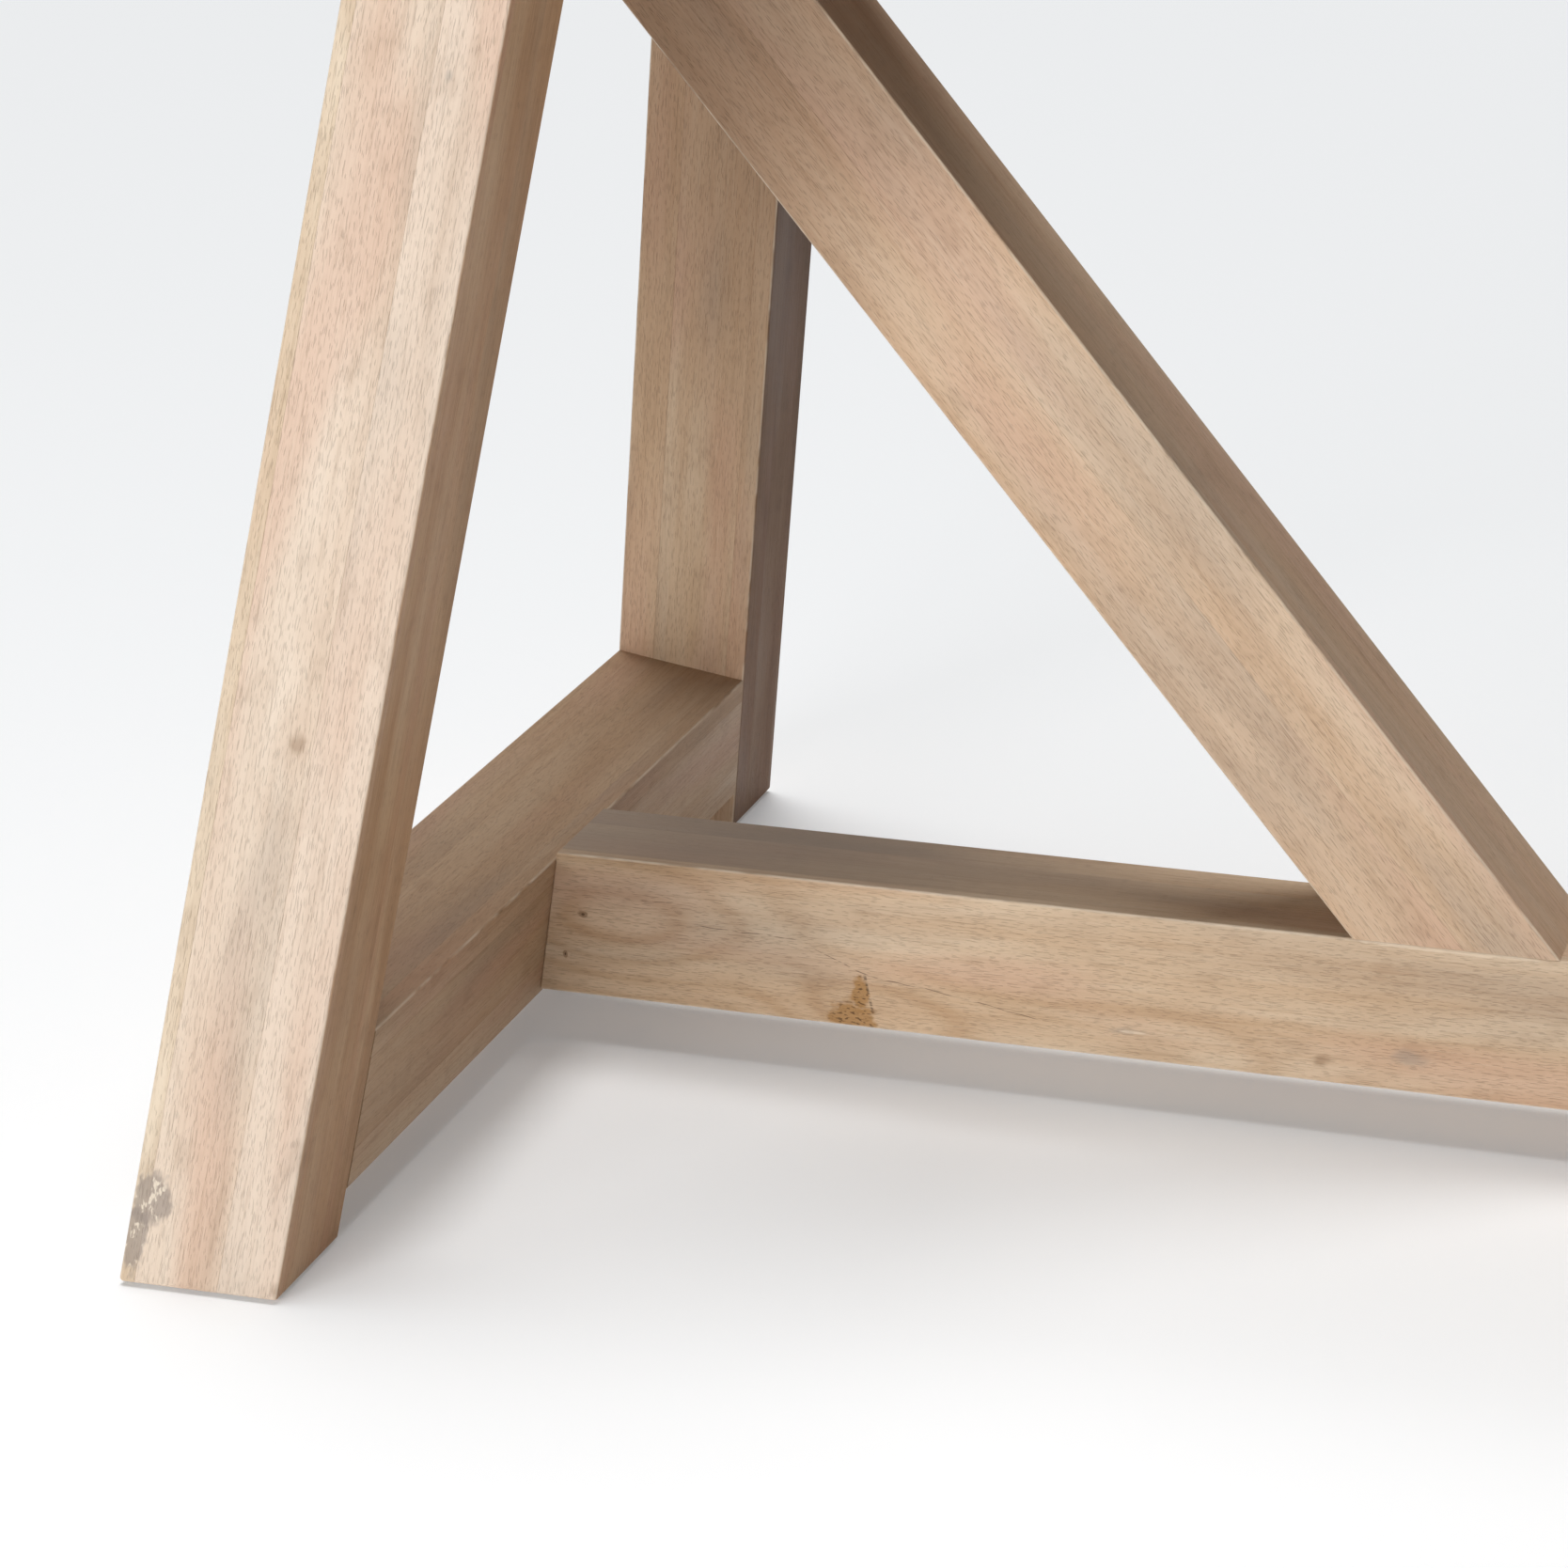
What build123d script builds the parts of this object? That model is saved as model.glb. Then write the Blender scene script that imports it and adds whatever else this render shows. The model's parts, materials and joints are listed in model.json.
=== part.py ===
from build123d import *
import os
from math import cos, radians, sin, tan

# Heavy timber sawhorse: two leaning A-shaped end frames, joined low down by a stretcher and at
# the top by a beam, with a diagonal brace from the stretcher's middle up to each end frame.
# Millimetres. +X runs along the stretcher, +Z is up, and the origin is on the floor at the centre.

# Driving dimensions
HEIGHT = 762.0  # floor to the bearing face of the top
HALF_SPAN = 640.0  # centre to the inner face of an end frame, at its feet
HALF_DEPTH = 415.0  # centre to the front face of a foot
LEAN = radians(8.65)  # each end frame leans in towards the middle
SPLAY = radians(11.7)  # the two legs of an end frame draw together upwards
DEEP = 90.0  # the deeper side of every timber
SLIM = 80.0  # the slimmer side of legs, stretcher, beam and braces
PAD = 2.0  # thickness of the felt pad under each foot
PAD_INSET = 9.0  # how far a pad stays inside its foot's outline
PAD_CORNER = 4.0
FOOT_RAIL_RISE = 27.0  # foot rail's lower edge, measured up the leaning face
STRETCHER_RISE = 30.0  # stretcher's underside above the foot soles
BRACE_ANGLE = radians(50.15)  # brace above the horizontal
FEET_GAP = 50.0  # between the feet of the two braces
SPARE = 40.0  # extra length that the level cuts take off again

# Eased edges
LEG_EASE = 2.2
LONG_EASE = 1.6
END_EASE = 0.9

# Dowels
DOWEL_R = 6.0
DOWEL_HOLE_R = 6.1
DOWEL_LENGTH = 80.0
SHORT_DOWEL_LENGTH = 60.0
HOLE_SPARE = 2.0  # room for glue, both ends of a hole together
DOWEL_CHAMFER = 1.0
FOOT_DOWEL_SIDE = 22.0  # above and below the foot rail's middle line
TOP_DOWEL_BELOW = 24.0  # below the top rail's middle line
TOP_DOWEL_ABOVE = 16.0  # above it, clear of the level cut
TOE_PIN_REACH = 32.0  # from the brace's toe to its first foot dowel
HEEL_PIN_REACH = 72.0  # and to its second
HEAD_PIN_REACH = 26.0  # from the end frame's inner face to the brace's head dowels
HEAD_PIN_SIDE = 20.0  # each head dowel's distance from the middle plane

# Connector bolts and barrel nuts, size M10
BOLT_R = 5.0
BOLT_HOLE_R = 5.5
HEAD_ACROSS_FLATS = 17.0
HEAD_HEIGHT = 6.4
WASHER_R = 11.0
WASHER_THICKNESS = 2.0
RECESS_R = 14.0
RECESS_DEPTH = 18.0  # from the rail's outer face, on the bolt's axis
BOLT_SIDE = 20.0  # each bolt's distance from the middle plane
NUT_R = 8.0
NUT_HOLE_R = 8.1
NUT_LENGTH = 28.0
LOW_NUT_REACH = 52.0  # from the rail's inner face to the nut, in the stretcher
HIGH_NUT_REACH = 118.0  # the same in the top beam, past the brace's head
BOLT_PAST_NUT = 12.0
BOLT_CHAMFER = 0.8
NUT_SLOT = 1.6

# Worked out from these
STRETCHER_LOW = PAD + STRETCHER_RISE
STRETCHER_TOP = STRETCHER_LOW + DEEP
BEAM_LOW = HEIGHT - DEEP
LEG_RUN = SLIM / cos(SPLAY)  # leg's width along Y
RAIL_THROUGH = DEEP / cos(LEAN)  # rail's thickness along X
FOOT_LENGTH = DEEP / sin(BRACE_ANGLE)  # brace's foot along the stretcher
FACE_TOP = (HEIGHT - PAD) / cos(LEAN)  # the bearing height, measured up the leaning face
LOW_BOLT_Z = (STRETCHER_LOW + STRETCHER_TOP) / 2
HIGH_BOLT_Z = (BEAM_LOW + HEIGHT) / 2

# Inner face of the left end frame: local x is +Y, local y runs up the lean, and the timber
# lies on the negative side.
LEFT_FACE = Plane(
    origin=(-HALF_SPAN, 0, PAD), x_dir=(0, 1, 0), z_dir=(cos(LEAN), 0, -sin(LEAN))
)


def face_x(z):
    """X of the left end frame's inner face at height z."""
    return -HALF_SPAN + (z - PAD) * tan(LEAN)


def leg_front_y(up):
    """Y of the front leg's front face, at a distance up the leaning face."""
    return -HALF_DEPTH + up * tan(SPLAY)


def joint_y(up):
    """Y where a rail's front end meets the front leg."""
    return leg_front_y(up) + LEG_RUN


def far_joint_y(up):
    """Y where a rail's back end meets the rear leg."""
    return -joint_y(up)


def in_frame(up, out):
    """World x and z of a point up the leaning face and out through the timber."""
    x = -HALF_SPAN + up * sin(LEAN) - out * cos(LEAN)
    z = PAD + up * cos(LEAN) + out * sin(LEAN)
    return x, z


def rail_rods(up_places, radius, length, mode=Mode.ADD):
    """Rods along Y across both joints of a rail, two to a joint."""
    for up, out in up_places:
        x, z = in_frame(up, out)
        for side in (1, -1):
            with Locations((x, side * joint_y(up), z)):
                Cylinder(radius, length, rotation=(90, 0, 0), mode=mode)


def upright_rods(places, radius, length, mode=Mode.ADD):
    """Upright rods centred on each (x, y, z)."""
    with Locations(places):
        Cylinder(radius, length, mode=mode)


def bolt_run(z, reach, mode=Mode.SUBTRACT):
    """Clearance holes of the two bolts at one end, from well outside to past their nuts."""
    start = face_x(z) - RAIL_THROUGH - SPARE
    end = face_x(z) + reach + BOLT_PAST_NUT + HOLE_SPARE
    with Locations([((start + end) / 2, y, z) for y in (-BOLT_SIDE, BOLT_SIDE)]):
        Cylinder(BOLT_HOLE_R, end - start, rotation=(0, 90, 0), mode=mode)


def bolt_recess(z):
    """Wrench recesses for the two bolt heads, cut in from a rail's outer face."""
    floor = face_x(z) - RAIL_THROUGH + RECESS_DEPTH
    with Locations([(floor - SPARE / 2, y, z) for y in (-BOLT_SIDE, BOLT_SIDE)]):
        Cylinder(RECESS_R, SPARE, rotation=(0, 90, 0), mode=Mode.SUBTRACT)


def nut_holes(x, low, z):
    """Barrel nut holes at x, from the underside at height low, for bolts at height z."""
    top = z + (NUT_LENGTH + HOLE_SPARE) / 2
    with Locations([(x, y, (low + top) / 2) for y in (-BOLT_SIDE, BOLT_SIDE)]):
        Cylinder(NUT_HOLE_R, top - low, mode=Mode.SUBTRACT)


def twin(part, about):
    """The mirror image of a finished piece."""
    with BuildPart() as other:
        mirror(part, about=about)
    return other.part


def save(part, name):
    """Label a finished piece and write it as its own STEP file."""
    part.label = name
    export_step(part, f"parts/{name}.step")


# Middles of the dowels in an end frame: (up the leaning face, out through the timber)
FOOT_RAIL_MID = FOOT_RAIL_RISE + DEEP / 2
TOP_RAIL_MID = FACE_TOP - DEEP / 2
FOOT_DOWELS = [(FOOT_RAIL_MID + up, DEEP / 2) for up in (-FOOT_DOWEL_SIDE, FOOT_DOWEL_SIDE)]
TOP_DOWELS = [(TOP_RAIL_MID + up, DEEP / 2) for up in (-TOP_DOWEL_BELOW, TOP_DOWEL_ABOVE)]

# Corners of the left brace in the middle plane, both ends cut level
HEEL_X = -FEET_GAP / 2
TOE_X = HEEL_X - FOOT_LENGTH
HEAD_SHIFT = (BEAM_LOW - STRETCHER_TOP) / tan(BRACE_ANGLE)

# Middles of the left brace's dowels, in the joint planes
FOOT_PINS = [(TOE_X + reach, 0, STRETCHER_TOP) for reach in (TOE_PIN_REACH, HEEL_PIN_REACH)]
HEAD_PIN_X = face_x(BEAM_LOW) + HEAD_PIN_REACH
HEAD_PINS = [(HEAD_PIN_X, y, BEAM_LOW) for y in (-HEAD_PIN_SIDE, HEAD_PIN_SIDE)]


def frame_outline(low, high, start, end):
    """Polygon on the leaning face between two heights, from the line start(up) to end(up)."""
    return [(start(low), low), (end(low), low), (end(high), high), (start(high), high)]


def make_leg():
    """Left front leg: a leaning, splayed timber, cut level at the sole and at the top."""
    with BuildPart() as leg:
        with BuildSketch(LEFT_FACE):
            with BuildLine():
                Polyline(frame_outline(-SPARE, FACE_TOP + SPARE, leg_front_y, joint_y), close=True)
            make_face()
        extrude(amount=-DEEP)
        split(bisect_by=Plane.XY.offset(PAD), keep=Keep.TOP)
        split(bisect_by=Plane.XY.offset(HEIGHT), keep=Keep.BOTTOM)
        fillet(leg.edges(), radius=LEG_EASE)
        hole = DOWEL_LENGTH + HOLE_SPARE
        rail_rods(FOOT_DOWELS + TOP_DOWELS, DOWEL_HOLE_R, hole, Mode.SUBTRACT)
    return leg.part


def make_foot_rail():
    """Left foot rail: butts between the legs, drilled for dowels and for the stretcher's bolts."""
    low = FOOT_RAIL_RISE
    high = FOOT_RAIL_RISE + DEEP
    with BuildPart() as rail:
        with BuildSketch(LEFT_FACE):
            with BuildLine():
                Polyline(frame_outline(low, high, joint_y, far_joint_y), close=True)
            make_face()
        extrude(amount=-DEEP)
        fillet(rail.edges().filter_by(Axis.Y), radius=LONG_EASE)
        rail_rods(FOOT_DOWELS, DOWEL_HOLE_R, DOWEL_LENGTH + HOLE_SPARE, Mode.SUBTRACT)
        bolt_run(LOW_BOLT_Z, LOW_NUT_REACH)
        bolt_recess(LOW_BOLT_Z)
    return rail.part


def make_top_rail():
    """Left top rail between the leg tops, cut level above and below."""
    with BuildPart() as rail:
        with BuildSketch(LEFT_FACE):
            with BuildLine():
                low = FACE_TOP - DEEP - SPARE
                Polyline(frame_outline(low, FACE_TOP + SPARE, joint_y, far_joint_y), close=True)
            make_face()
        extrude(amount=-DEEP)
        split(bisect_by=Plane.XY.offset(BEAM_LOW), keep=Keep.TOP)
        split(bisect_by=Plane.XY.offset(HEIGHT), keep=Keep.BOTTOM)
        fillet(rail.edges().filter_by(Axis.Y), radius=LONG_EASE)
        rail_rods(TOP_DOWELS, DOWEL_HOLE_R, DOWEL_LENGTH + HOLE_SPARE, Mode.SUBTRACT)
        bolt_run(HIGH_BOLT_Z, HIGH_NUT_REACH)
        bolt_recess(HIGH_BOLT_Z)
    return rail.part


def make_centre_bar(low, pins, bolt_z, nut_reach):
    """A centre timber with both ends cut to the end frames' lean, drilled alike at both ends."""
    high = low + DEEP
    pin_hole = SHORT_DOWEL_LENGTH + HOLE_SPARE
    with BuildPart() as half:
        with BuildSketch(Plane.XZ):
            with BuildLine():
                Polyline((face_x(low), low), (0, low), (0, high), (face_x(high), high), close=True)
            make_face()
        extrude(amount=SLIM / 2, both=True)
        fillet(half.edges().filter_by(Axis.X), radius=LONG_EASE)
        chamfer(half.faces().sort_by(Axis.X)[0].edges(), length=END_EASE)
        upright_rods(pins, DOWEL_HOLE_R, pin_hole, Mode.SUBTRACT)
        bolt_run(bolt_z, nut_reach)
        nut_holes(face_x(bolt_z) + nut_reach, low, bolt_z)
    with BuildPart() as bar:
        add(half.part)
        mirror(half.part, about=Plane.YZ)
    return bar.part


def make_brace():
    """Left brace: foot on the stretcher, head under the top rail and the beam."""
    with BuildPart() as brace:
        with BuildSketch(Plane.XZ):
            with BuildLine():
                Polyline(
                    (TOE_X, STRETCHER_TOP),
                    (HEEL_X, STRETCHER_TOP),
                    (HEEL_X - HEAD_SHIFT, BEAM_LOW),
                    (TOE_X - HEAD_SHIFT, BEAM_LOW),
                    close=True,
                )
            make_face()
        extrude(amount=SLIM / 2, both=True)
        fillet(brace.edges().sort_by(SortBy.LENGTH)[-4:], radius=LONG_EASE)
        hole = SHORT_DOWEL_LENGTH + HOLE_SPARE
        upright_rods(FOOT_PINS + HEAD_PINS, DOWEL_HOLE_R, hole, Mode.SUBTRACT)
    return brace.part


def make_frame_dowels():
    """The eight dowels that hold the left end frame together."""
    with BuildPart() as dowels:
        rail_rods(FOOT_DOWELS + TOP_DOWELS, DOWEL_R, DOWEL_LENGTH)
        chamfer(dowels.edges().filter_by(GeomType.CIRCLE), length=DOWEL_CHAMFER)
    return dowels.part


def make_brace_dowels(places):
    """The two upright dowels at one end of the left brace."""
    with BuildPart() as dowels:
        upright_rods(places, DOWEL_R, SHORT_DOWEL_LENGTH)
        chamfer(dowels.edges().filter_by(GeomType.CIRCLE), length=DOWEL_CHAMFER)
    return dowels.part


def make_bolts(z, reach):
    """The two hexagon bolts at the left end, pointing inwards through the rail."""
    seat = face_x(z) - RAIL_THROUGH + RECESS_DEPTH - WASHER_THICKNESS
    tip = face_x(z) + reach + BOLT_PAST_NUT
    with BuildPart() as bolts:
        with BuildSketch(Plane.YZ.offset(seat - HEAD_HEIGHT)):
            with Locations((-BOLT_SIDE, z), (BOLT_SIDE, z)):
                RegularPolygon(HEAD_ACROSS_FLATS / 2, 6, major_radius=False)
        extrude(amount=HEAD_HEIGHT)
        chamfer(bolts.faces().filter_by(Axis.X).group_by(Axis.X)[0].edges(), length=BOLT_CHAMFER)
        with BuildSketch(Plane.YZ.offset(seat)):
            with Locations((-BOLT_SIDE, z), (BOLT_SIDE, z)):
                Circle(BOLT_R)
        extrude(amount=tip - seat)
        chamfer(bolts.faces().filter_by(Axis.X).group_by(Axis.X)[-1].edges(), length=BOLT_CHAMFER)
    return bolts.part


def make_washers(z):
    """The two plain washers under the left end's bolt heads."""
    floor = face_x(z) - RAIL_THROUGH + RECESS_DEPTH
    with BuildPart() as washers:
        with BuildSketch(Plane.YZ.offset(floor - WASHER_THICKNESS)):
            with Locations((-BOLT_SIDE, z), (BOLT_SIDE, z)):
                Circle(WASHER_R)
                Circle(BOLT_HOLE_R, mode=Mode.SUBTRACT)
        extrude(amount=WASHER_THICKNESS)
    return washers.part


def make_barrel_nuts(z, reach):
    """The two barrel nuts at the left end: upright rounds with a cross thread and a key slot."""
    x = face_x(z) + reach
    with BuildPart() as nuts:
        with Locations((x, -BOLT_SIDE, z), (x, BOLT_SIDE, z)):
            Cylinder(NUT_R, NUT_LENGTH)
            Cylinder(BOLT_R, 3 * NUT_R, rotation=(0, 90, 0), mode=Mode.SUBTRACT)
        slot_z = z - NUT_LENGTH / 2
        with Locations((x, -BOLT_SIDE, slot_z), (x, BOLT_SIDE, slot_z)):
            Box(3 * NUT_R, NUT_SLOT, 2 * NUT_SLOT, mode=Mode.SUBTRACT)
    return nuts.part


def make_pad():
    """Felt pad under the left front foot, a little inside the sole's outline."""
    outer_x = -HALF_SPAN - RAIL_THROUGH
    drift = DEEP * tan(LEAN) * tan(SPLAY)  # the sole's outer edge sits this much further out
    with BuildPart() as pad:
        with BuildSketch(Plane.XY) as sole:
            with BuildLine():
                Polyline(
                    (-HALF_SPAN, leg_front_y(0)),
                    (-HALF_SPAN, joint_y(0)),
                    (outer_x, joint_y(0) - drift),
                    (outer_x, leg_front_y(0) - drift),
                    close=True,
                )
            make_face()
            offset(amount=-PAD_INSET, kind=Kind.INTERSECTION)
            fillet(sole.vertices(), radius=PAD_CORNER)
        extrude(amount=PAD)
    return pad.part


def both_ends(part):
    """A group of small pieces at the left end together with its mirror image at the right."""
    with BuildPart() as group:
        add(part)
        mirror(part, about=Plane.YZ)
    return group.part


os.makedirs("parts", exist_ok=True)

left_leg = make_leg()
save(left_leg, "left_front_leg")
save(twin(left_leg, Plane.XZ), "left_rear_leg")
save(twin(left_leg, Plane.YZ), "right_front_leg")
save(twin(twin(left_leg, Plane.YZ), Plane.XZ), "right_rear_leg")

left_pad = make_pad()
save(left_pad, "left_front_foot_pad")
save(twin(left_pad, Plane.XZ), "left_rear_foot_pad")
save(twin(left_pad, Plane.YZ), "right_front_foot_pad")
save(twin(twin(left_pad, Plane.YZ), Plane.XZ), "right_rear_foot_pad")

left_pieces = {
    "foot_rail": make_foot_rail(),
    "top_rail": make_top_rail(),
    "brace": make_brace(),
    "frame_dowels": make_frame_dowels(),
}
for name, piece in left_pieces.items():
    save(piece, f"left_{name}")
    save(twin(piece, Plane.YZ), f"right_{name}")

save(make_centre_bar(STRETCHER_LOW, FOOT_PINS, LOW_BOLT_Z, LOW_NUT_REACH), "stretcher")
save(make_centre_bar(BEAM_LOW, HEAD_PINS, HIGH_BOLT_Z, HIGH_NUT_REACH), "top_beam")

save(both_ends(make_brace_dowels(FOOT_PINS)), "brace_foot_dowels")
save(both_ends(make_brace_dowels(HEAD_PINS)), "brace_head_dowels")

for level, z, reach in (
    ("stretcher", LOW_BOLT_Z, LOW_NUT_REACH),
    ("top_beam", HIGH_BOLT_Z, HIGH_NUT_REACH),
):
    save(both_ends(make_bolts(z, reach)), f"{level}_bolts")
    save(both_ends(make_washers(z)), f"{level}_washers")
    save(both_ends(make_barrel_nuts(z, reach)), f"{level}_barrel_nuts")
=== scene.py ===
import json
from math import cos, radians, sin, tan, tau

import bpy
from mathutils import Matrix, Vector

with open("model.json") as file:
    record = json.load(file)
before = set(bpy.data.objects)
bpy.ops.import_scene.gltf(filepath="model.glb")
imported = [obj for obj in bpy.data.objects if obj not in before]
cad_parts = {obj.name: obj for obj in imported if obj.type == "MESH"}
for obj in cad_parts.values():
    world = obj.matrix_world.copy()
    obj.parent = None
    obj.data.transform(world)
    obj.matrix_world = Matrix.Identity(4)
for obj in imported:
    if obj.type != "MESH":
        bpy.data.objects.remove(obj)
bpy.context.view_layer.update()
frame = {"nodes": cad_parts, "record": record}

# Driving dimensions of the sawhorse, in metres, as the CAD has them
HEIGHT = 0.762
HALF_SPAN = 0.640
HALF_DEPTH = 0.415
LEAN = radians(8.65)
SPLAY = radians(11.7)
DEEP = 0.090
SLIM = 0.080
PAD = 0.002
FOOT_RAIL_RISE = 0.027
STRETCHER_RISE = 0.030
BRACE_ANGLE = radians(50.15)
FEET_GAP = 0.050
MM = 0.001

STRETCHER_MID = PAD + STRETCHER_RISE + DEEP / 2

# Stage
FLOOR_SIZE = 200.0
FLOOR_GLOW = 0.15  # the floor's own light, which lifts its deepest shadows
FLOOR_GLOW_TINT = (0.90, 0.99, 1.07, 1.0)  # cool, against the wood's warm reflection
WORLD_STRENGTH = 0.06
WORLD_SEEN = 0.80  # how bright the camera sees it, like the far floor
SUN_STRENGTH = 2.35
SUN_WIDTH = radians(40)  # how soft the overhead light is
SUN_TOWARDS = (0.05, -0.16, -1.0)
FRONT_POWER = 85.0  # watts
FILL_POWER = 3.0
FILL_TINT = (1.0, 0.86, 0.72)  # warm

# Camera
CAMERA_PLACE = (0.261, -2.254, 1.026)
CAMERA_YAW = radians(-18.46)
CAMERA_PITCH = radians(19.92)  # below the horizon
CAMERA_ROLL = radians(0.68)
CAMERA_LENS = 97.9  # millimetres, on a sensor 36 mm wide


# ---------------------------------------------------------------- node helpers


def linear(code):
    """An sRGB hex colour as linear RGBA."""
    parts = [int(code[i : i + 2], 16) / 255 for i in (0, 2, 4)]
    return [p / 12.92 if p <= 0.04045 else ((p + 0.055) / 1.055) ** 2.4 for p in parts] + [1.0]


class Value:
    """A number or colour worked out by nodes. Arithmetic on it adds Math nodes."""

    def __init__(self, net, socket):
        self.net = net
        self.socket = socket

    def __add__(self, other):
        return self.net.math("ADD", self, other)

    def __sub__(self, other):
        return self.net.math("SUBTRACT", self, other)

    def __mul__(self, other):
        return self.net.math("MULTIPLY", self, other)

    def __truediv__(self, other):
        return self.net.math("DIVIDE", self, other)

    def call(self, operation, other=0.0):
        return self.net.math(operation, self, other)


class Net:
    """The node tree of one new material."""

    def __init__(self, name, roughness=0.6, specular=0.35):
        self.material = bpy.data.materials.new(name)
        self.material.use_nodes = True
        self.tree = self.material.node_tree
        self.shader = self.tree.nodes["Principled BSDF"]
        self.shader.inputs["Roughness"].default_value = roughness
        self.shader.inputs["Specular IOR Level"].default_value = specular

    def put(self, node, key, value):
        socket = node.inputs[key]
        if isinstance(value, Value):
            self.tree.links.new(value.socket, socket)
        else:
            socket.default_value = value

    def node(self, kind, out=0, settings=None, **inputs):
        """A new node's output. An input's key is its name, or _ and its number."""
        made = self.tree.nodes.new(kind)
        for key, value in (settings or {}).items():
            setattr(made, key, value)
        for key, value in inputs.items():
            self.put(made, int(key[1:]) if key[0] == "_" else key, value)
        return Value(self, made.outputs[out])

    def math(self, operation, a, b=0.0):
        return self.node("ShaderNodeMath", settings={"operation": operation}, _0=a, _1=b)

    def place(self):
        return self.node("ShaderNodeTexCoord", out="Object")

    def dot(self, vector, axis):
        settings = {"operation": "DOT_PRODUCT"}
        return self.node("ShaderNodeVectorMath", "Value", settings, _0=vector, _1=tuple(axis))

    def vector(self, x, y, z):
        return self.node("ShaderNodeCombineXYZ", X=x, Y=y, Z=z)

    def noise(self, vector, scale, detail, rough, distortion=0.0):
        """Fractal noise, about 0 to 1 with a mean of a half."""
        inputs = {"Vector": vector, "Scale": scale, "Detail": detail}
        return self.node("ShaderNodeTexNoise", Roughness=rough, Distortion=distortion, **inputs)

    def cells(self, vector, scale):
        """Distance to the nearest point of a random scatter."""
        return self.node("ShaderNodeTexVoronoi", out="Distance", Vector=vector, Scale=scale)

    def random(self, value):
        """One random number for each whole number."""
        settings = {"noise_dimensions": "1D"}
        return self.node("ShaderNodeTexWhiteNoise", "Value", settings, W=value)

    def step(self, value, low, high, to_low=0.0, to_high=1.0):
        """A smooth step from to_low to to_high as value goes from low to high."""
        settings = {"interpolation_type": "SMOOTHSTEP"}
        if low > high:
            low, high, to_low, to_high = high, low, to_high, to_low
        ends = {"_1": low, "_2": high, "_3": to_low, "_4": to_high}
        return self.node("ShaderNodeMapRange", 0, settings, _0=value, **ends)

    def mix(self, a, b, share, blend="MIX"):
        """Colour a going over to colour b."""
        node = self.tree.nodes.new("ShaderNodeMix")
        node.data_type = "RGBA"
        node.blend_type = blend
        self.put(node, 0, share)
        self.put(node, 6, a)
        self.put(node, 7, b)
        return Value(self, node.outputs[2])

    def layers(self, colour, coats):
        """A ground colour with each (colour, share) of coats mixed over it in turn."""
        for shade, share in coats:
            colour = self.mix(colour, shade, share)
        return colour

    def finish(self, colour, relief, depth, roughness=None):
        """Set the colour, a bump of this depth in metres, and a varying roughness if given."""
        self.put(self.shader, "Base Color", colour)
        if roughness is not None:
            self.put(self.shader, "Roughness", roughness)
        normal = self.node("ShaderNodeBump", Strength=1.0, Height=relief, Distance=depth)
        self.put(self.shader, "Normal", normal)
        return self.material


# ---------------------------------------------------------------- wood

SAND = linear("DCCBB4")
TAN = linear("CCB193")
HONEY = linear("B79673")
UMBER = linear("8C6E52")
GREY = linear("A1968B")
ROSE = linear("CFAC95")
DARK = linear("3B2A1C")
FILLER = linear("8F8279")
CREAM = linear("E6D8C4")
TOP_SHADE_GREY = linear("8A7D72")
HEAD_SHADE_COLOUR = linear("9A8573")
AMBER = linear("A9814D")
RESIN = linear("4A2F18")

# How the boards glued up into one timber are told apart
LAYER = 0.046  # thickness of the boards behind one another
LAYER_SHIFT = 0.013  # how far behind the timber's middle one of their joints lies
LAYER_STEP = 7.0  # these two keep the numbers of layers, rows and timbers apart
SEED_STEP = 13.7
BOARD_SHIFT = 9.0  # how far apart two boards' patterns may start, in lengths of a blotch
GLUE_LINE = (0.4955, 0.4985)  # where it starts and is full, from a board's middle, in widths

# Growth rings
RINGS_ACROSS = 11.0  # per metre, like the next
RINGS_OUT = 5.0
RING_WANDER = 4.2  # in rings, like the next two: slow bends along the timber
RING_RIPPLE = 0.5  # small bends
RING_SPREAD = 5.0  # how far apart two boards may be
RING_SHARE = 0.20  # of the rings' colour
KNOT_RING_SHARE = 0.14  # how much more of it there is for each ring that a knot lifts
KNOT_STRETCH = 0.42  # a knot's size across the grain over its reach along the grain

# Surface
RELIEF = 0.16 * MM
EDGE_WEAR = 1.8 * MM  # how far from a long edge the rubbing reaches
EDGE_FULL = 0.5 * MM  # and where it is full
EDGE_RAGGED = 1.6 * MM  # how much both of them wander
CRACK_END = 4 * MM  # how far a crack fades out at its ends

# What a patch on a show face looks like: its colour, how much of it, and how soft its rim is
PATCHES = {
    "pin": (UMBER, 0.70, 0.35),
    "bruise": (UMBER, 0.55, 0.90),
    "amber": (AMBER, 0.85, 0.35),
    "filler": (FILLER, 0.72, 0.35),
    "smudge": (GREY, 0.55, 0.90),
    "pale": (CREAM, 0.65, 0.35),
}


def board_axes(net, timber):
    """Distances along the timber, across its show face, and out of that face, from its middle."""
    place = net.place()
    axes = (timber["along"], timber["across"], timber["out"])
    return [net.dot(place, axis) - axis.dot(timber["origin"]) for axis in axes]


def board_chance(net, across, out, timber):
    """A random number for each of the boards glued up into one timber."""
    row = ((across + timber["stave_shift"]) / timber["stave"]).call("FLOOR")
    layer = ((out + LAYER_SHIFT) / LAYER).call("FLOOR")
    return net.random(row + layer * LAYER_STEP + timber["seed"] * SEED_STEP)


def glue_lines(net, across, timber):
    """1 on the hairlines between the boards of the show face."""
    place = ((across + timber["stave_shift"]) / timber["stave"]).call("FRACT")
    return net.step((place - 0.5).call("ABSOLUTE"), *GLUE_LINE)


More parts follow.
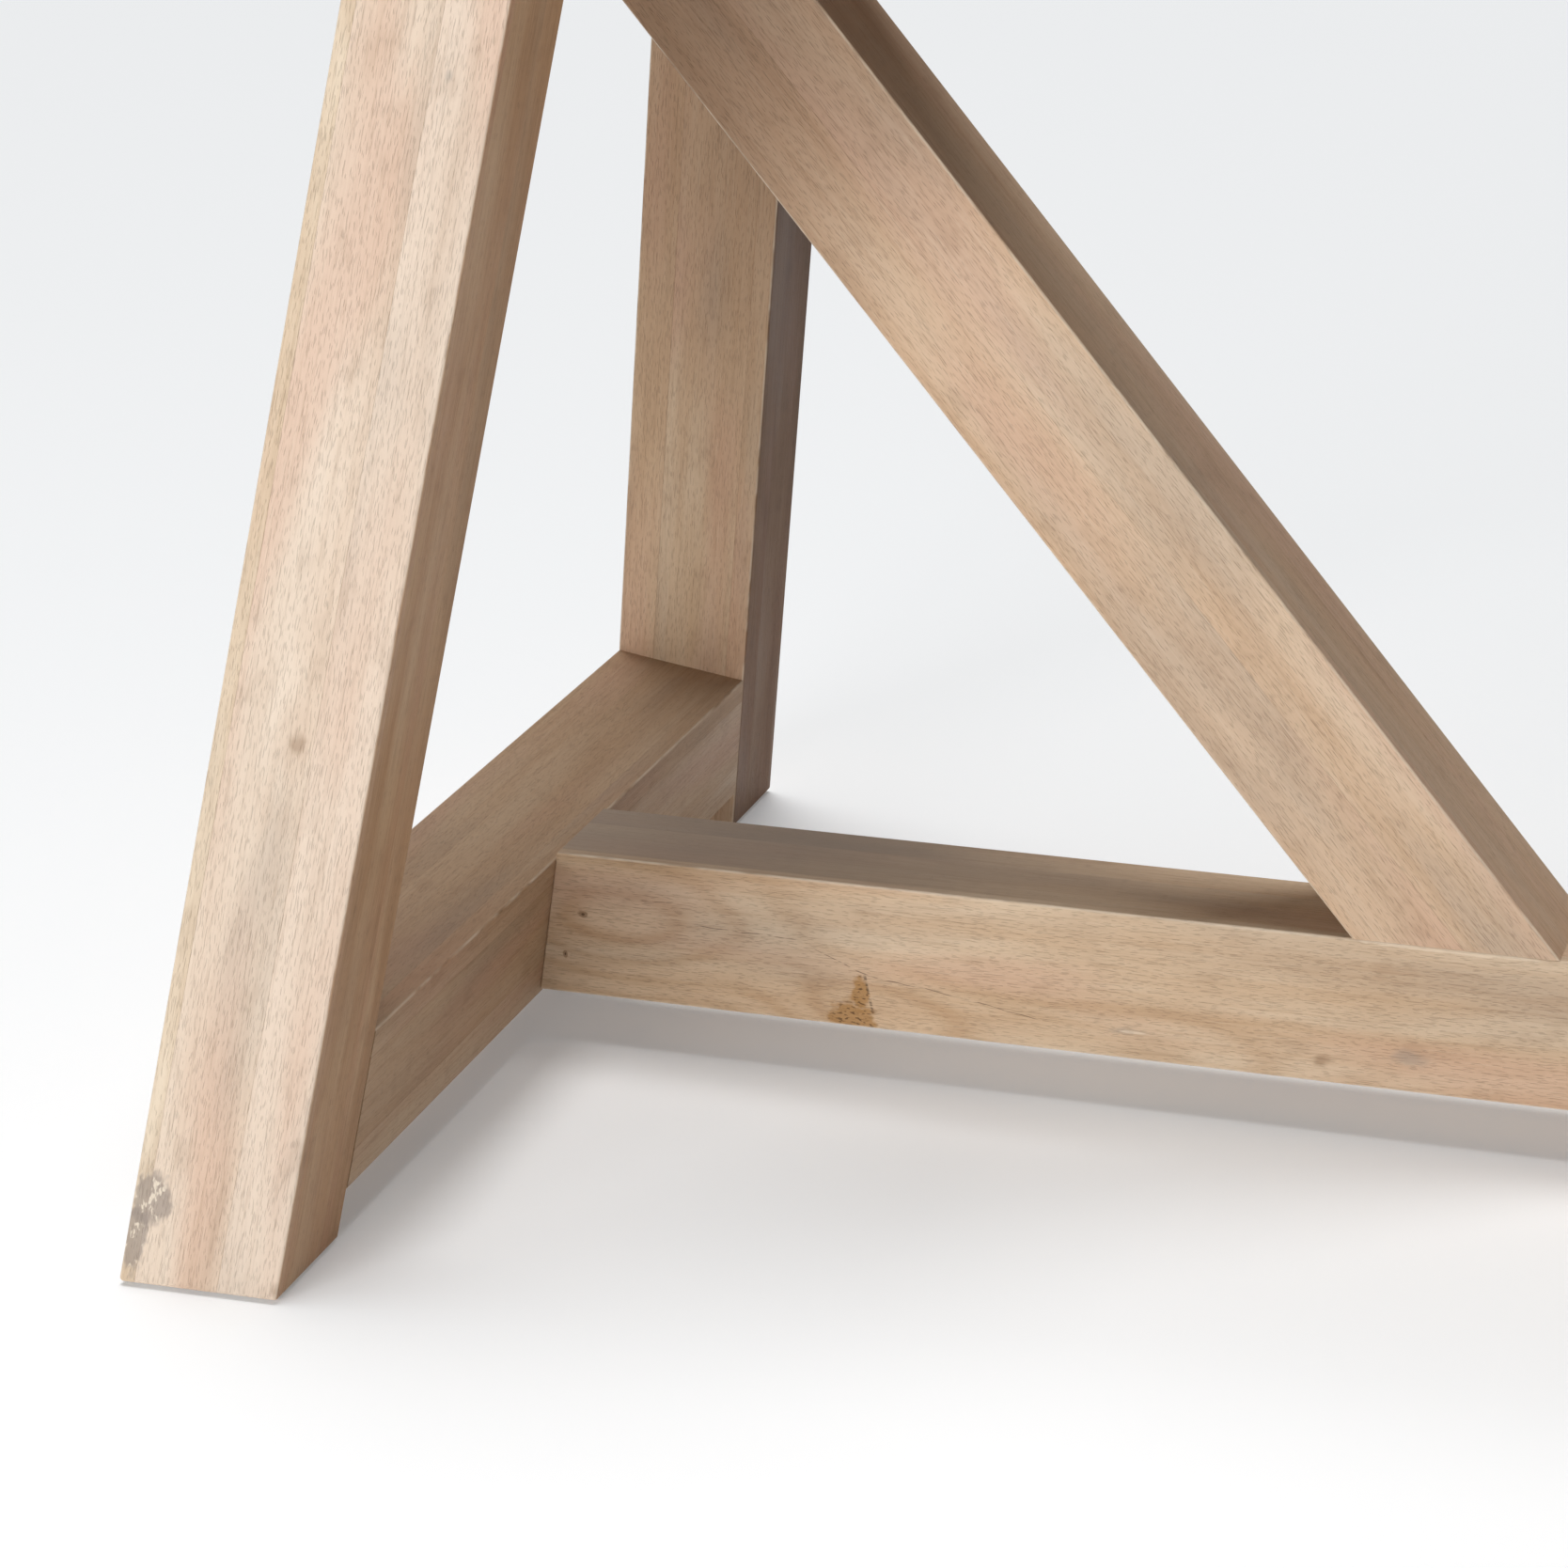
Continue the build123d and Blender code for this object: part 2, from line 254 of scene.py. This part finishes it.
def knot_lift(net, along, across, timber):
    """How far the knots lift the growth rings around them, as a sum of long bell shapes."""
    lift = None
    for knot_along, knot_across, size, strength in timber["knots"]:
        x = (along - knot_along * MM) * (KNOT_STRETCH / (size * MM))
        y = (across - knot_across * MM) * (1.0 / (size * MM))
        bell = net.math("EXPONENT", (x * x + y * y) * -0.5) * strength
        lift = bell if lift is None else lift + bell
    return lift


def growth_rings(net, timber, grain, along, across, out, chance):
    """How deep the rings' honey colour is: level lines of a height that the knots bend."""
    height = across * RINGS_ACROSS + out * RINGS_OUT + grain(450, 140, 2.0) * RING_WANDER
    height = height + grain(110, 26, 1.0) * RING_RIPPLE + chance * RING_SPREAD
    share = RING_SHARE
    if timber["knots"]:
        lift = knot_lift(net, along, across, timber)
        height = height + lift
        share = lift * KNOT_RING_SHARE + RING_SHARE
    ring = (height * tau).call("SINE") * 0.5 + 0.5
    return ring.call("POWER", 1.8) * share


def spot(net, along, across, place, radius, wobble, soft):
    """1 inside a ragged spot on the show face, 0 outside. Sizes in millimetres."""
    x = (along - place[0] * MM) / (radius[0] * MM)
    y = (across - place[1] * MM) / (radius[1] * MM)
    distance = (x * x + y * y).call("SQRT") + wobble
    return net.step(distance, 1.0, 1.0 - soft)


def crack(net, along, across, start, end, width, wobble):
    """A hairline between two points of the show face. Sizes in millimetres."""
    run = Vector(end) - Vector(start)
    length = run.length
    run = run / length
    x = (along - start[0] * MM) * run.x + (across - start[1] * MM) * run.y
    y = (across - start[1] * MM) * run.x - (along - start[0] * MM) * run.y + wobble
    line = net.step(y.call("ABSOLUTE"), width * MM, 0.3 * width * MM)
    ends = net.step(x, 0.0, CRACK_END) * net.step(x, length * MM, length * MM - CRACK_END)
    return line * ends


def face_mask(net, out, timber):
    """1 on the show face only."""
    return net.step(out, timber["half_out"] - 2.5 * MM, timber["half_out"] - 0.8 * MM)


def stained(net, timber, colour, along, normal):
    """The timber's tint, with painted shade deepening towards its head and painted shade on a leg's
    inner side; on the rear legs the tint is painted shade too.
    """
    start, end, share = timber["head_shade"]
    # a tint over the whole timber, which on the rear legs is painted shade
    colour = net.mix(colour, timber["stain"], 1.0, "MULTIPLY")
    # painted shade, deepening towards the timber's head
    colour = net.mix(colour, HEAD_SHADE_COLOUR, net.step(along, start, end) * share, "MULTIPLY")
    if timber["inward"]:
        # painted shade on a leg's side that faces inward
        inner = net.step(net.dot(normal, timber["inward"]), 0.5, 0.9)
        colour = net.mix(colour, timber["inner_stain"], inner, "MULTIPLY")
    return colour


def edge_wear(net, timber, across, out, rub):
    """1 on the long edges, with a ragged limit."""
    near_side = (across.call("ABSOLUTE") - timber["half_across"]) * -1.0
    near_face = (out.call("ABSOLUTE") - timber["half_out"]) * -1.0
    distance = near_side.call("MAXIMUM", near_face) + (rub - 0.5) * EDGE_RAGGED
    return net.step(distance, EDGE_WEAR, EDGE_FULL)


def wood(timber):
    """The oiled hardwood of one timber, greyish in places, with its own boards, rings and faults,
    and painted shade on its top faces and, where given, towards its head and on its inner side.
    """
    net = Net(timber["node"] + "_wood", specular=0.3)
    along, across, out = board_axes(net, timber)
    chance = board_chance(net, across, out, timber)
    start = chance * BOARD_SHIFT + timber["seed"]

    def grain(length, width, detail, shift=0.0):
        """Noise whose blotches are about length by width millimetres, along and across."""
        share = 1.0 / (width * MM)
        lengthwise = along * (1.0 / (length * MM)) + start + shift
        return net.noise(net.vector(lengthwise, across * share, out * share), 1.0, detail, 0.55)

    # Long soft streaks, fine fibres, and short pores, all drawn out along the grain.
    broad = grain(330, 24, 3.0)
    fibre = grain(36, 1.3, 2.0)
    pores = net.step(grain(5.5, 0.55, 0.0), 0.60, 0.76)
    mottle = grain(26, 17, 2.0)
    cloud = grain(260, 60, 2.0, 4.0)
    blush = grain(260, 48, 1.0, 8.0)
    rub = grain(33, 33, 2.0)

    coats = (
        (TAN, net.step(broad, 0.28, 0.72)),
        (HONEY, growth_rings(net, timber, grain, along, across, out, chance)),
        (timber["tone"], net.step(chance, 0.10, 0.95) * timber["tone_share"]),
        (ROSE, net.step(blush, 0.48, 0.72) * 0.60),
        (GREY, net.step(cloud, 0.50, 0.78) * 0.40),
        (UMBER, net.step(broad, 0.58, 0.84) * (chance * 0.4 + 0.12)),
        (UMBER, net.step(mottle, 0.54, 0.80) * 0.20),
        (UMBER, net.step(fibre, 0.48, 0.76) * 0.24),
        (SAND, net.step(fibre, 0.46, 0.22) * 0.26),
        (DARK, pores * 0.19),
        (UMBER, glue_lines(net, across, timber) * 0.45),
    )
    colour = net.layers(SAND, coats)
    if timber["patches"] or timber["cracks"]:
        colour = faults(net, timber, colour, along, across, out, fibre)
    normal = net.node("ShaderNodeNewGeometry", out="True Normal")
    colour = stained(net, timber, colour, along, normal)

    # Painted shade on the upward faces, grey and uneven from board to board, then the rubbed pale
    # edges with a few dark nicks.
    upward = net.step(net.dot(normal, (0, 0, 1)), 0.45, 0.80)
    wash = upward * net.step(along, *timber["top_shade_run"], *timber["wash"])
    worn = edge_wear(net, timber, across, out, rub)
    nick = worn * net.step(rub, 0.68, 0.74)
    coats = (
        # painted shade on the top faces
        (TOP_SHADE_GREY, wash * (cloud * 0.5 + chance * 0.45 + 0.30)),
        (CREAM, worn * net.step(rub, 0.34, 0.58) * 0.55),
        (UMBER, nick * 0.75),
    )
    colour = net.layers(colour, coats)

    relief = fibre * 0.5 - pores * 0.9 - nick * 2.0
    roughness = net.step(cloud + fibre * 0.3, 0.45, 0.85, 0.50, 0.66)
    return net.finish(colour, relief, RELIEF, roughness)


def faults(net, timber, colour, along, across, out, fibre):
    """The colour with the knots, cracks and filler of a timber's show face."""
    shown = face_mask(net, out, timber)
    ragged = net.noise(net.vector(along * 95.0, across * 140.0, 0.0), 1.0, 2.0, 0.6) - 0.5
    fine = net.noise(net.vector(along * 260.0, across * 620.0, 0.0), 1.0, 1.0, 0.6)
    wave = net.noise(net.vector(along * 40.0, across * 20.0, 0.0), 1.0, 2.0, 0.6) - 0.5
    for place, radius, kind in timber["patches"]:
        shade, share, soft = PATCHES[kind]
        inside = spot(net, along, across, place, radius, ragged * 1.1, soft) * shown
        colour = net.mix(colour, shade, inside * share)
        if kind == "pin":
            core = (radius[0] * 0.4, radius[1] * 0.4)
            heart = spot(net, along, across, place, core, ragged, soft)
            colour = net.mix(colour, DARK, heart * shown * 0.70)
        elif kind == "amber":
            streaks = net.step(fine, 0.55, 0.66)
            colour = net.mix(colour, RESIN, inside * streaks * 0.75)
        elif kind == "filler":
            fleck = inside * net.step(ragged, 0.04, 0.10) * net.step(fine, 0.42, 0.54)
            colour = net.mix(colour, CREAM, fleck * 0.8)
    for start, end, width, sway in timber["cracks"]:
        line = crack(net, along, across, start, end, width, wave * sway * MM) * shown
        line = line * net.step(fibre + ragged, 0.36, 0.56)
        colour = net.mix(colour, DARK, line * 0.65)
    return colour


# ---------------------------------------------------------------- timbers


def timber(node, origin, along, out, halves, seed, **more):
    """One timber's own axes and looks, in metres. halves are across the show face and out of it.

    stave is the width of its boards, and stave_shift where their joints lie. stain is a tint over
    the whole timber, which on the rear legs is painted shade. head_shade gives where along the
    timber its painted shade starts and ends deepening, and by what share, and inner_stain the
    painted shade on a leg's inner side. wash gives the share of painted shade on its top at the two
    ends of top_shade_run. Knots are (along, across, size, strength), patches (place, radius, kind)
    and cracks (start, end, width, sway), in millimetres from the timber's origin.
    """
    along = along.normalized()
    out = out.normalized()
    made = {
        "node": node,
        "origin": origin,
        "along": along,
        "out": out,
        "across": out.cross(along),
        "half_across": halves[0],
        "half_out": halves[1],
        "seed": seed,
        "stave": 0.047,
        "stave_shift": 0.011,
        "tone": TAN,
        "tone_share": 0.5,
        "wash": (0.50, 0.50),
        "top_shade_run": (-0.5, 0.5),
        "inner_stain": (0.74, 0.59, 0.46, 1.0),
        "inward": None,
        "stain": (1.0, 1.0, 1.0, 1.0),
        "head_shade": (0.35, 0.62, 0.0),
        "knots": [],
        "patches": [],
        "cracks": [],
    }
    made.update(more)
    return made


def end_frame_axes(end):
    """Up the lean and outwards through the timber, for the end at -1 (left) or 1 (right)."""
    up = Vector((-end * sin(LEAN), 0, cos(LEAN)))
    outwards = Vector((end * cos(LEAN), 0, sin(LEAN)))
    foot = Vector((end * HALF_SPAN, 0, PAD))
    return up, outwards, foot


def leg_timber(end, side, seed, **more):
    """A leg: side is -1 at the front and 1 at the rear. The show face looks away from the middle."""
    up, outwards, foot = end_frame_axes(end)
    along = up + Vector((0, -side * tan(SPLAY), 0))
    show = outwards.cross(along)
    if show.y * side < 0:
        show = -show
    middle = Vector((0, side * (HALF_DEPTH - SLIM / cos(SPLAY) / 2), 0))
    node = f"{'left' if end < 0 else 'right'}_{'front' if side < 0 else 'rear'}_leg"
    origin = foot + outwards * DEEP / 2 + middle
    halves = (DEEP / 2, SLIM / 2)
    return timber(node, origin, along, show, halves, seed, inward=-outwards, **more)


def rail_timber(end, level, seed, **more):
    """A foot or top rail, which shows its inner face."""
    up, outwards, foot = end_frame_axes(end)
    rise = FOOT_RAIL_RISE + DEEP / 2 if level == "foot" else (HEIGHT - PAD) / cos(LEAN) - DEEP / 2
    origin = foot + up * rise + outwards * DEEP / 2
    node = f"{'left' if end < 0 else 'right'}_{level}_rail"
    return timber(node, origin, Vector((0, 1, 0)), -outwards, (DEEP / 2, DEEP / 2), seed, **more)


def centre_timber(node, middle_z, seed, **more):
    """The stretcher or the top beam, which shows its front face."""
    origin = Vector((0, 0, middle_z))
    front = Vector((0, -1, 0))
    return timber(node, origin, Vector((1, 0, 0)), front, (DEEP / 2, SLIM / 2), seed, **more)


def brace_timber(end, seed, **more):
    """A brace, from the middle of its foot up to the end frame."""
    foot_length = DEEP / sin(BRACE_ANGLE)
    top = STRETCHER_MID + DEEP / 2
    origin = Vector((end * (FEET_GAP + foot_length) / 2, 0, top))
    along = Vector((end * cos(BRACE_ANGLE), 0, sin(BRACE_ANGLE)))
    node = f"{'left' if end < 0 else 'right'}_brace"
    return timber(node, origin, along, Vector((0, -1, 0)), (DEEP / 2, SLIM / 2), seed, **more)


# The rear legs: painted shade all over, deepening towards the head, and darker painted shade on the
# inner side.
REAR_LOOKS = {
    "stain": (0.88, 0.83, 0.78, 1.0),
    "inner_stain": (0.37, 0.26, 0.17, 1.0),
    "head_shade": (0.15, 0.55, 0.62),
}
# The foot rails: darker and warmer all over, and painted shade on their tops.
RAIL_LOOKS = {"stain": (0.72, 0.63, 0.55, 1.0), "wash": (0.25, 0.25)}
CENTRE_STAIN = (0.97, 0.91, 0.85, 1.0)
RAIL_FAULTS = {"knots": [(110, -8, 18, 2.2)], "patches": [((110, -8), (5, 4), "pin")]}
BEAM_FAULTS = {"knots": [(-210, 14, 22, 2.4)], "patches": [((-210, 14), (6, 4), "pin")]}
# A brace: painted shade deepening towards its head, and on its top.
BRACE_LOOKS = {
    "tone": linear("CFAC8E"),
    "stain": (0.98, 0.96, 0.94, 1.0),
    "head_shade": (0.42, 0.64, 0.65),
    "wash": (0.20, 0.30),
    "top_shade_run": (0.0, 0.5),
}
STRETCHER_LOOKS = {
    "stave": 0.11,
    "stave_shift": 0.055,
    # painted shade on the top, heavy at the left end and fading out towards the middle
    "wash": (0.90, 0.10),
    "top_shade_run": (-0.50, -0.15),
    "knots": [
        (-586, 4, 26, 3.2),
        (-430, -36, 20, 2.6),
        (-330, -60, 30, 1.6),
        (-235, -40, 22, 1.2),
        (120, 10, 22, 2.0),
        (410, -20, 18, 2.2),
    ],
    "patches": [
        ((-606, 7), (4, 3), "pin"),
        ((-618, -20), (2, 3), "pin"),
        ((-437, -42), (17, 16), "amber"),
        ((-432, -24), (6, 13), "amber"),
        ((-272, -28), (14, 3), "smudge"),
        ((-268, -28), (8, 1), "pale"),
        ((-157, -32), (9, 6), "bruise"),
        ((-106, -24), (16, 8), "smudge"),
        ((-85, 44), (62, 2), "pale"),
        ((140, 12), (5, 4), "pin"),
        ((408, -20), (6, 4), "pin"),
    ],
    "cracks": [
        ((-579, 19), (-537, 22), 0.3, 3.0),
        ((-534, 8), (-470, 6), 0.4, 3.0),
        ((-470, 5), (-426, -12), 0.4, 3.0),
        ((-426, -12), (-372, -19), 0.4, 4.0),
        ((-372, -19), (-322, -27), 0.3, 4.0),
        ((-430, -10), (-424, -36), 1.2, 4.0),
    ],
}

LEG_LOOKS = {
    "tone": linear("E0CEBF"),
    "tone_share": 0.8,
    "patches": [
        ((288, -2), (9, 7), "bruise"),
        ((28, 34), (18, 13), "filler"),
        ((4, 40), (22, 8), "filler"),
        ((-3, -44), (6, 6), "bruise"),
        ((640, -20), (4, 3), "smudge"),
    ],
    "knots": [(288, -2, 12, 1.6), (690, 24, 22, 1.4)],
}

TIMBERS = [
    leg_timber(-1, -1, 3.1, **LEG_LOOKS),
    leg_timber(-1, 1, 8.3, stave=0.052, stave_shift=0.02, **REAR_LOOKS),
    leg_timber(1, -1, 14.9, stave_shift=0.03),
    leg_timber(1, 1, 21.7, stave=0.05, tone=linear("B99A76"), **REAR_LOOKS),
    rail_timber(-1, "foot", 27.3, stave=0.051, stave_shift=0.022, **RAIL_LOOKS),
    rail_timber(1, "foot", 33.9, **RAIL_LOOKS, **RAIL_FAULTS),
    rail_timber(-1, "top", 39.1, stave_shift=0.02, stain=CENTRE_STAIN),
    rail_timber(1, "top", 45.7, stave_shift=0.03, stain=CENTRE_STAIN),
    centre_timber("stretcher", STRETCHER_MID, 51.3, stain=CENTRE_STAIN, **STRETCHER_LOOKS),
    centre_timber("top_beam", HEIGHT - DEEP / 2, 57.9, stain=CENTRE_STAIN, **BEAM_FAULTS),
    brace_timber(-1, 63.1, stave=0.048, stave_shift=0.004, **BRACE_LOOKS),
    brace_timber(1, 69.7, stave=0.05, stave_shift=0.02, knots=[(300, -12, 20, 2.0)], **BRACE_LOOKS),
]


# ---------------------------------------------------------------- other materials


def dowel_wood():
    """Plain beech with its small flecks."""
    net = Net("dowel_beech", roughness=0.6)
    place = net.place()
    streak = net.noise(place, 180.0, 3.0, 0.6)
    fleck = net.step(net.noise(place, 900.0, 1.0, 0.5), 0.60, 0.72)
    colour = net.mix(linear("D9B88C"), linear("B88E5E"), net.step(streak, 0.35, 0.7))
    colour = net.mix(colour, UMBER, fleck * 0.5)
    return net.finish(colour, streak, 0.1 * MM)


def zinc():
    """Zinc-plated steel: spangled, with grease in the low spots."""
    net = Net("zinc_plate", roughness=0.35, specular=0.5)
    net.shader.inputs["Metallic"].default_value = 1.0
    place = net.place()
    spangle = net.cells(place, 420.0)
    grime = net.step(net.noise(place, 160.0, 4.0, 0.6), 0.52, 0.72)
    colour = net.mix(linear("B9BBBD"), linear("9DA1A6"), net.step(spangle, 0.2, 0.8))
    colour = net.mix(colour, linear("5A544B"), grime * 0.55)
    roughness = net.step(spangle + grime * 0.5, 0.2, 1.1, 0.28, 0.55)
    return net.finish(colour, spangle, 0.04 * MM, roughness)


def felt():
    """Pressed dark felt: matted fibres and lint."""
    net = Net("pressed_felt", roughness=0.95, specular=0.1)
    net.shader.inputs["Sheen Weight"].default_value = 0.4
    place = net.place()
    mat = net.noise(place, 700.0, 4.0, 0.7, 1.2)
    lint = net.step(net.noise(place, 1500.0, 2.0, 0.6, 2.0), 0.62, 0.72)
    colour = net.mix(linear("2A2623"), linear("4A433C"), net.step(mat, 0.35, 0.7))
    colour = net.mix(colour, linear("8C847A"), lint * 0.5)
    return net.finish(colour, mat, 0.4 * MM)


def dress(node, material):
    """Give a CAD node its material."""
    slots = frame["nodes"][node].data.materials
    slots.clear()
    slots.append(material)


for made in TIMBERS:
    dress(made["node"], wood(made))

SMALL = {"dowel": dowel_wood(), "zinc_steel": zinc(), "felt": felt()}
for entry in frame["record"]["subparts"]:
    if entry["material_slot"] in SMALL:
        dress(entry["node"], SMALL[entry["material_slot"]])


# ---------------------------------------------------------------- stage, light and camera


def make_floor():
    """A plain pale studio floor."""
    bpy.ops.mesh.primitive_plane_add(size=FLOOR_SIZE)
    floor = bpy.context.object
    floor.name = "studio_floor"
    net = Net("studio_floor", roughness=0.9, specular=0.0)
    net.shader.inputs["Base Color"].default_value = linear("EDEDED")
    net.shader.inputs["Emission Color"].default_value = FLOOR_GLOW_TINT
    net.shader.inputs["Emission Strength"].default_value = FLOOR_GLOW
    floor.data.materials.append(net.material)


def hang(data, towards):
    """A lamp in the scene that shines a given way."""
    lamp = bpy.data.objects.new(data.name, data)
    bpy.context.scene.collection.objects.link(lamp)
    lamp.rotation_euler = Vector(towards).to_track_quat("-Z", "Y").to_euler()
    return lamp


def area_light(name, place, target, size, power, tint=(1, 1, 1)):
    """A soft rectangular lamp that looks at a point."""
    data = bpy.data.lights.new(name, "AREA")
    data.shape = "RECTANGLE"
    data.size = size[0]
    data.size_y = size[1]
    data.energy = power
    data.color = tint
    hang(data, Vector(target) - Vector(place)).location = place


def sun_light(name, towards, strength, width):
    """A soft light from far off, which lights the whole floor evenly."""
    data = bpy.data.lights.new(name, "SUN")
    data.energy = strength
    data.angle = width
    hang(data, towards)


def make_world():
    """Weak even light from all round, which the camera sees as pale as the far floor."""
    world = bpy.data.worlds.new("studio")
    world.use_nodes = True
    tree = world.node_tree
    background = tree.nodes["Background"]
    background.inputs["Color"].default_value = (1, 1, 1, 1)
    strength = tree.nodes.new("ShaderNodeMapRange")
    strength.inputs["To Min"].default_value = WORLD_STRENGTH
    strength.inputs["To Max"].default_value = WORLD_SEEN
    path = tree.nodes.new("ShaderNodeLightPath")
    tree.links.new(path.outputs["Is Camera Ray"], strength.inputs["Value"])
    tree.links.new(strength.outputs["Result"], background.inputs["Strength"])
    bpy.context.scene.world = world


def make_camera():
    """The camera: a long lens, looking down at the left end from the front right."""
    yaw, pitch = CAMERA_YAW, CAMERA_PITCH
    forward = Vector((sin(yaw) * cos(pitch), cos(yaw) * cos(pitch), -sin(pitch)))
    level = Vector((cos(yaw), -sin(yaw), 0))
    down = forward.cross(level)
    right = level * cos(CAMERA_ROLL) + down * sin(CAMERA_ROLL)
    up = level * sin(CAMERA_ROLL) - down * cos(CAMERA_ROLL)
    data = bpy.data.cameras.new("camera")
    data.sensor_width = 36.0
    data.lens = CAMERA_LENS
    data.clip_end = 2 * FLOOR_SIZE
    camera = bpy.data.objects.new("camera", data)
    bpy.context.scene.collection.objects.link(camera)
    turn = Matrix((right, up, -forward)).transposed().to_4x4()
    camera.matrix_world = Matrix.Translation(CAMERA_PLACE) @ turn
    bpy.context.scene.camera = camera


make_camera()
make_floor()
area_light("front_soft", (-1.3, -3.6, 0.95), (-0.2, 0.0, 0.35), (2.2, 1.3), FRONT_POWER)
area_light("right_fill", (3.2, -2.6, 1.3), (-0.2, 0.0, 0.3), (1.8, 1.4), FILL_POWER, FILL_TINT)
sun_light("overhead_soft", SUN_TOWARDS, SUN_STRENGTH, SUN_WIDTH)
make_world()
bpy.context.scene.view_settings.view_transform = "Standard"
